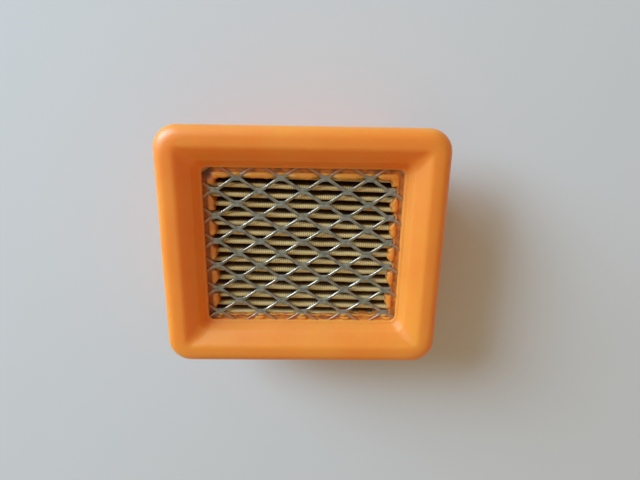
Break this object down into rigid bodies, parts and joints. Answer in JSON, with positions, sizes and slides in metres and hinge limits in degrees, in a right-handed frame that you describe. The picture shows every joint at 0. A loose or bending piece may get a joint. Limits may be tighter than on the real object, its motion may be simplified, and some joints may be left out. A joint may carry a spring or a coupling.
{
  "type": "panel air filter cartridge",
  "caption": "Rectangular panel air filter cartridge: moulded polyurethane frame with a wide sealing flange, recessed expanded-metal screen and pleated paper.",
  "frame": {"origin": "middle of the rear face, which the cartridge rests on", "axes": "+X along the long side of the sealing face and along the pleats, +Y across the pleats, +Z out of the sealing face that shows the screen"},
  "size_m": [0.098, 0.0856, 0.032],
  "materials": {
    "polyurethane": "semi-gloss moulded orange polyurethane",
    "zinc_steel": "dull zinc-coated expanded steel",
    "filter_paper": "resin-cured corrugated filter paper, tan",
    "hot_glue": "translucent amber hot glue"
  },
  "bodies": {
    "root": {"seal_frame": "polyurethane", "front_screen": "zinc_steel", "pleated_paper": "filter_paper", "spacer_bead_left": "hot_glue", "spacer_bead_centre": "hot_glue", "spacer_bead_right": "hot_glue"}
  },
  "joints": []
}
